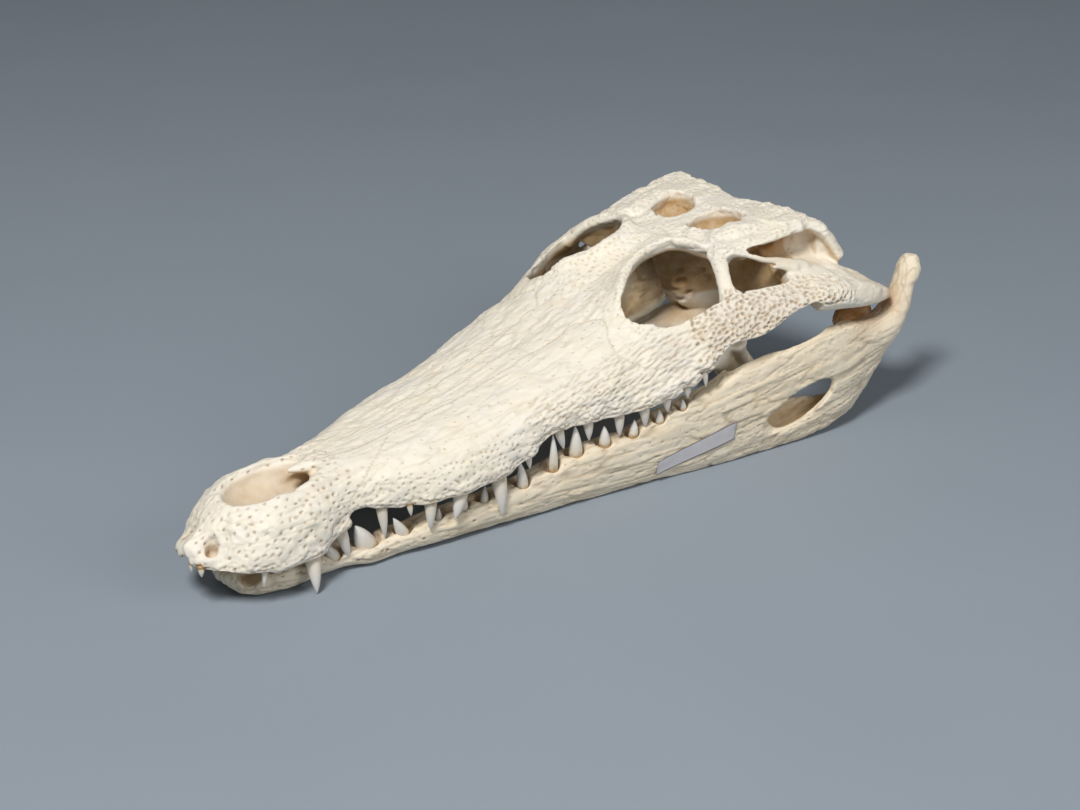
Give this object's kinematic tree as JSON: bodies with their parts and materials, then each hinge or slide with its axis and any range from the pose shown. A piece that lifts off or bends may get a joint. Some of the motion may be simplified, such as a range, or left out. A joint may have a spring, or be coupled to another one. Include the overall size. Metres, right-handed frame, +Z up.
{
  "type": "crocodile skull",
  "caption": "Bleached crocodile skull at life size: cranium with upper teeth on the two halves of the toothed lower jaw, with a blank label.",
  "frame": {"origin": "on the floor, under the middle of the skull's bounding box", "axes": "-X towards the tip of the snout, -Y towards the animal's left, +Z up"},
  "size_m": [0.379, 0.158, 0.1007],
  "materials": {
    "bone": "matte dry bone",
    "label": "matt paper"
  },
  "bodies": {
    "root": {"cranium": "bone", "lower_jaw_right": "bone", "lower_jaw_left": "bone", "label": "label"}
  },
  "joints": []
}
